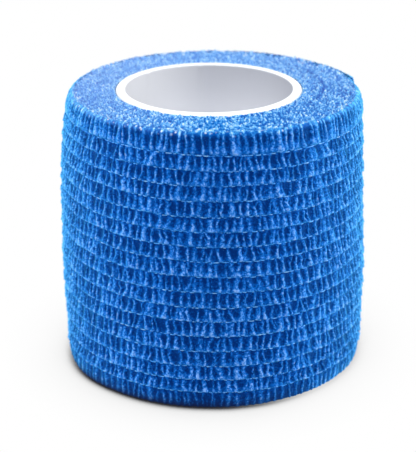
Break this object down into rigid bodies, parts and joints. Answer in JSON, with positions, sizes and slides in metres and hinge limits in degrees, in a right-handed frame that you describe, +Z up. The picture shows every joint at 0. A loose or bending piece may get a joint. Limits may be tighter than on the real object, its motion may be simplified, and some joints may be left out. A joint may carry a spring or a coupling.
{
  "type": "hand wrap",
  "caption": "Roll of self-adherent elastic crepe hand wrap: gathered nonwoven strip with elastic threads, wound on a short plastic tube core, free end peels off.",
  "frame": {"origin": "centre of the core's bottom rim, on the surface the roll stands on", "axes": "+Z up along the roll's axis; the free end of the strip lies behind, on the +X +Y side; -Y is the front"},
  "size_m": [0.0557, 0.0561, 0.0505],
  "materials": {
    "wrap": "matt crinkled nonwoven",
    "wrap_back": "matt crinkled nonwoven",
    "elastic": "satin stretched thread",
    "core": "satin moulded white"
  },
  "bodies": {
    "roll": {"bandage_winding": "wrap", "outer_turn_face_web": "wrap", "outer_turn_back_web": "wrap_back", "elastic_thread_01": "elastic", "elastic_thread_02": "elastic", "elastic_thread_03": "elastic", "elastic_thread_04": "elastic", "elastic_thread_05": "elastic", "elastic_thread_06": "elastic", "elastic_thread_07": "elastic", "elastic_thread_08": "elastic", "elastic_thread_09": "elastic", "elastic_thread_10": "elastic", "elastic_thread_11": "elastic", "elastic_thread_12": "elastic", "elastic_thread_13": "elastic", "elastic_thread_14": "elastic", "elastic_thread_15": "elastic", "elastic_thread_16": "elastic", "elastic_thread_17": "elastic"},
    "core": {"core_tube": "core"},
    "tail_1": {"tail_segment_1": "wrap"},
    "tail_2": {"tail_segment_2": "wrap"},
    "tail_3": {"tail_segment_3": "wrap"},
    "tail_4": {"tail_segment_4": "wrap"}
  },
  "joints": [
    {"name": "core_push_out", "type": "slide", "parent": "roll", "child": "core", "axis": [0, 0, 1], "range_m": [0, 0.055]},
    {"name": "tail_peel", "type": "hinge", "parent": "roll", "child": "tail_1", "pos_m": [-0.01001, 0.02607, 0.02495], "axis": [0, 0, 1], "range_deg": [0, 40]},
    {"name": "tail_bend_2", "type": "hinge", "parent": "tail_1", "child": "tail_2", "pos_m": [0.00146, 0.02794, 0.02495], "axis": [0, 0, 1], "range_deg": [0, 40]},
    {"name": "tail_bend_3", "type": "hinge", "parent": "tail_2", "child": "tail_3", "pos_m": [0.01272, 0.02497, 0.02495], "axis": [0, 0, 1], "range_deg": [0, 40]},
    {"name": "tail_bend_4", "type": "hinge", "parent": "tail_3", "child": "tail_4", "pos_m": [0.02181, 0.01766, 0.02495], "axis": [0, 0, 1], "range_deg": [0, 40]}
  ],
  "couplings": [
    {"joint": "tail_bend_2", "follows": "tail_peel", "ratio": 1},
    {"joint": "tail_bend_3", "follows": "tail_peel", "ratio": 1},
    {"joint": "tail_bend_4", "follows": "tail_peel", "ratio": 1}
  ]
}
